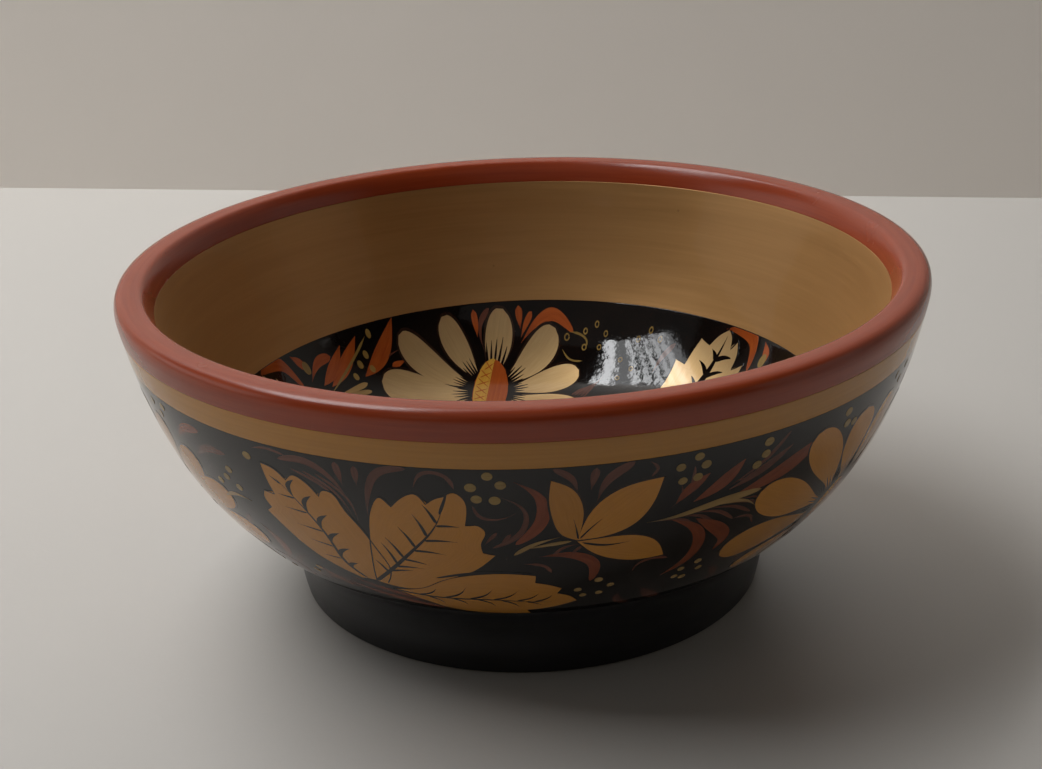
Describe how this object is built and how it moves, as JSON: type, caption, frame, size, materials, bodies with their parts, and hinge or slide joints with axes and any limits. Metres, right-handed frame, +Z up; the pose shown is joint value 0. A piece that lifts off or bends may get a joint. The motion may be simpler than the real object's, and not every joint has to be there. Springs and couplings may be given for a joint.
{
  "type": "painted wooden bowl",
  "caption": "Turned wooden bowl on a low foot ring, lacquered black, red and gold with painted flowers and leaves, for serving or display.",
  "frame": {"origin": "centre of the standing ring, on the plane of the table", "axes": "+Z up along the turning axis; the bowl is round, so +X and +Y are free, and the painted side seen first faces -Y"},
  "size_m": [0.1808, 0.1808, 0.076],
  "materials": {
    "linden_wood": "bare turned linden, lightly worn on the standing ring",
    "cinnabar_lacquer": "brick-red oil paint under baked gloss lacquer",
    "ochre_lacquer": "flat gold ochre paint under baked gloss lacquer",
    "gold_lacquer": "metal powder under amber lacquer, satin metallic with fine turned streaks",
    "cream_gold_lacquer": "pale gold strokes with the metal powder showing through, gloss lacquer",
    "black_lacquer": "deep black oil paint under baked gloss lacquer",
    "satin_black_paint": "plain black paint, satin"
  },
  "bodies": {
    "root": {"turned_body": "linden_wood", "rim_red_coat": "cinnabar_lacquer", "outer_ochre_band": "ochre_lacquer", "outer_black_ground": "black_lacquer", "foot_black_coat": "satin_black_paint", "underside_black_coat": "satin_black_paint", "inner_gold_coat": "gold_lacquer", "well_black_coat": "black_lacquer"}
  },
  "joints": []
}
